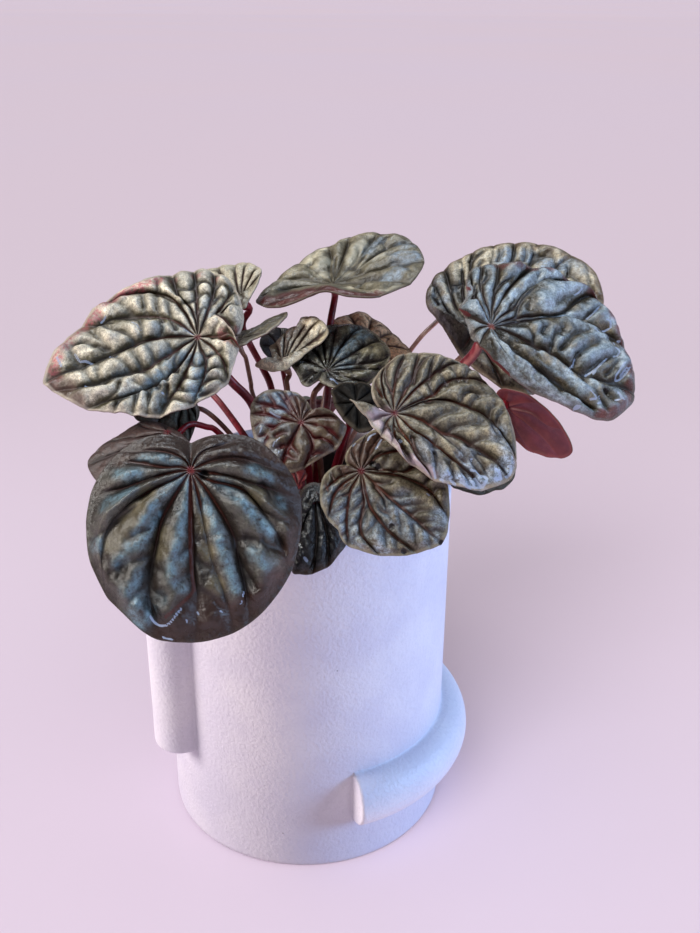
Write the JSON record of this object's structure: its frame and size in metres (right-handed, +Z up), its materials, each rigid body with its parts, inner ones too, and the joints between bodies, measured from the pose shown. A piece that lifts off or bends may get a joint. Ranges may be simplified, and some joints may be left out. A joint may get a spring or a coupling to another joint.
{
  "type": "potted peperomia",
  "caption": "Rippled-leaf peperomia with silver, slate and wine-red leaves on red stalks, in a straight white ceramic pot with a fused half-round upright bar and ring bar.",
  "frame": {"origin": "centre of the pot's flat underside, on the pot's axis", "axes": "+Z up along the pot's axis, -Y toward the side with the largest drooping leaf and the flat end of the ring bar, +X to that viewer's right"},
  "size_m": [0.1537, 0.1374, 0.1676],
  "materials": {
    "white_ceramic": "matte white bisque-like glaze with a fine orange-peel texture and a few tiny dark specks",
    "potting_soil": "dark moist peat crumbs with fine fibres",
    "crown_stem": "short reddish brown fleshy stem",
    "leaf_silver": "silver-cream pillows between sunken dark olive veins, satin with a waxy sheen, wine-red underside",
    "leaf_olive": "olive to grey-olive rippled blade, satin, dull wine-red underside",
    "leaf_slate": "dark slate rippled blade with bluish silver ridges, semi-gloss",
    "leaf_beige": "silver-beige pillows between red-brown grooves, semi-gloss",
    "leaf_brown": "rusty brown young blade, satin",
    "leaf_mixed": "bluish silver and cream panels between broad dark red-brown veins, semi-gloss",
    "leaf_dark": "near-black olive-brown rippled blade, satin",
    "leaf_blue": "blue-silver rippled blade, glossy, red-brown toward the tip",
    "leaf_wine": "wine-red smooth underside of a blade, satin",
    "petiole_red": "deep wine-red fleshy leaf stalk, semi-gloss",
    "petiole_brown": "thin olive-brown to reddish leaf stalk, satin"
  },
  "bodies": {
    "root": {"pot": "white_ceramic", "soil": "potting_soil", "crown": "crown_stem", "leaf_A": "leaf_silver", "leaf_B": "leaf_silver", "leaf_C": "leaf_olive", "leaf_D": "leaf_olive", "leaf_E": "leaf_slate", "leaf_F": "leaf_beige", "leaf_G": "leaf_slate", "leaf_H": "leaf_brown", "leaf_I": "leaf_mixed", "leaf_J": "leaf_beige", "leaf_K": "leaf_beige", "leaf_L": "leaf_slate", "leaf_M": "leaf_dark", "leaf_M2": "leaf_dark", "leaf_N": "leaf_dark", "leaf_O": "leaf_olive", "leaf_P": "leaf_blue", "leaf_Q": "leaf_wine", "leaf_R": "leaf_dark", "leaf_T": "leaf_wine", "leaf_U": "leaf_dark", "leaf_V": "leaf_olive", "leaf_W": "leaf_silver", "leaf_X": "leaf_olive", "leaf_Y": "leaf_silver", "leaf_Z": "leaf_dark", "petiole_A": "petiole_red", "petiole_B": "petiole_red", "petiole_C": "petiole_red", "petiole_D": "petiole_brown", "petiole_E": "petiole_red", "petiole_F": "petiole_brown", "petiole_G": "petiole_brown", "petiole_H": "petiole_red", "petiole_I": "petiole_red", "petiole_J": "petiole_red", "petiole_K": "petiole_red", "petiole_L": "petiole_red", "petiole_M": "petiole_red", "petiole_M2": "petiole_brown", "petiole_N": "petiole_red", "petiole_O": "petiole_red", "petiole_P": "petiole_red", "petiole_Q": "petiole_red", "petiole_R": "petiole_red", "petiole_T": "petiole_brown", "petiole_U": "petiole_red", "petiole_V": "petiole_brown", "petiole_W": "petiole_red", "petiole_X": "petiole_brown", "petiole_Y": "petiole_red", "petiole_Z": "petiole_red"}
  },
  "joints": []
}
